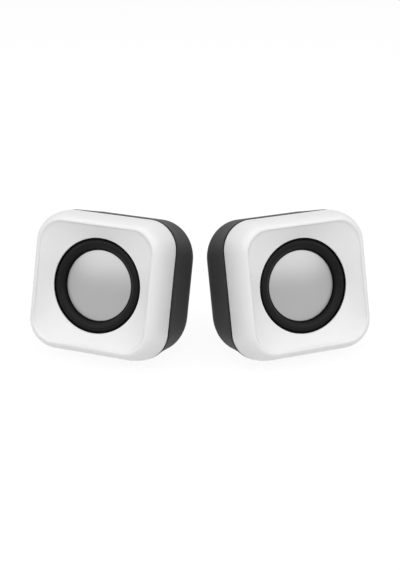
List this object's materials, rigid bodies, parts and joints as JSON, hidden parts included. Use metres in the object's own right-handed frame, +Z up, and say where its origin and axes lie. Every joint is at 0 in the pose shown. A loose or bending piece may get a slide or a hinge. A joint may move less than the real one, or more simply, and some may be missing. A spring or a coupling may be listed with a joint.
{
  "type": "desktop speakers",
  "caption": "Pair of small white and dark grey cube-shaped desktop speakers, mirror images turned outwards, each with a dished front, black surround and silver dome.",
  "frame": {"origin": "bottom centre of the pair's bounding box, on the desk, midway between the two speakers", "axes": "+X along the pair from the left speaker to the right one, +Z up, and -Y to where the speakers face"},
  "size_m": [0.1658, 0.08, 0.0716],
  "materials": {
    "white_plastic": "satin gloss",
    "dark_plastic": "fine matte texture",
    "black_rubber": "satin",
    "silver": "satin",
    "black_paper": "matte",
    "chip_black": "matte",
    "spider_cloth": "resin-stiffened cloth",
    "copper": "enamelled winding on an aluminium former",
    "black_steel": "black satin",
    "plated_steel": "zinc plated",
    "ferrite": "matte sintered",
    "board_green": "solder resist",
    "terminal_brown": "matte laminate"
  },
  "bodies": {
    "left_speaker": {"left_basket": "black_steel", "left_cable_grommet": "black_rubber", "left_case_screw_1": "plated_steel", "left_case_screw_2": "plated_steel", "left_case_screw_3": "plated_steel", "left_case_screw_4": "plated_steel", "left_driver_screw_1": "plated_steel", "left_driver_screw_2": "plated_steel", "left_driver_screw_3": "plated_steel", "left_driver_screw_4": "plated_steel", "left_foot_1": "black_rubber", "left_foot_2": "black_rubber", "left_foot_3": "black_rubber", "left_foot_4": "black_rubber", "left_front_bezel": "white_plastic", "left_magnet": "ferrite", "left_rear_shell": "dark_plastic", "left_spider": "spider_cloth", "left_surround": "black_rubber", "left_terminal_board": "terminal_brown", "left_top_plate": "plated_steel", "left_yoke": "plated_steel"},
    "left_cone_assembly": {"left_dome_cap": "silver", "left_cone": "black_paper", "left_voice_coil": "copper"},
    "right_speaker": {"right_amplifier_board": "board_green", "right_amplifier_chip": "chip_black", "right_basket": "black_steel", "right_board_screw_1": "plated_steel", "right_board_screw_2": "plated_steel", "right_cable_grommet": "black_rubber", "right_capacitor_1": "black_steel", "right_capacitor_2": "black_steel", "right_case_screw_1": "plated_steel", "right_case_screw_2": "plated_steel", "right_case_screw_3": "plated_steel", "right_case_screw_4": "plated_steel", "right_driver_screw_1": "plated_steel", "right_driver_screw_2": "plated_steel", "right_driver_screw_3": "plated_steel", "right_driver_screw_4": "plated_steel", "right_foot_1": "black_rubber", "right_foot_2": "black_rubber", "right_foot_3": "black_rubber", "right_foot_4": "black_rubber", "right_front_bezel": "white_plastic", "right_magnet": "ferrite", "right_rear_shell": "dark_plastic", "right_spider": "spider_cloth", "right_surround": "black_rubber", "right_terminal_board": "terminal_brown", "right_top_plate": "plated_steel", "right_volume_control": "plated_steel", "right_yoke": "plated_steel"},
    "right_cone_assembly": {"right_dome_cap": "silver", "right_cone": "black_paper", "right_voice_coil": "copper"},
    "right_volume": {"right_volume_knob": "dark_plastic", "right_volume_shaft": "plated_steel"}
  },
  "joints": [
    {"name": "pair_spacing", "type": "slide", "parent": "left_speaker", "child": "right_speaker", "axis": [1, 0, 0], "range_m": [0, 0.4]},
    {"name": "left_cone_travel", "type": "slide", "parent": "left_speaker", "child": "left_cone_assembly", "axis": [-0.3875, -0.887, 0.2512], "range_m": [-0.0015, 0.0015], "stiffness_N_per_m": 500, "deforming": ["left_surround", "left_spider"]},
    {"name": "right_cone_travel", "type": "slide", "parent": "right_speaker", "child": "right_cone_assembly", "axis": [0.3875, -0.887, 0.2512], "range_m": [-0.0015, 0.0015], "stiffness_N_per_m": 500, "deforming": ["right_surround", "right_spider"]},
    {"name": "volume", "type": "hinge", "parent": "right_speaker", "child": "right_volume", "pos_m": [0.02911, 0.02934, 0.03032], "axis": [0.3875, -0.887, 0.2512], "range_deg": [0, 300]}
  ]
}
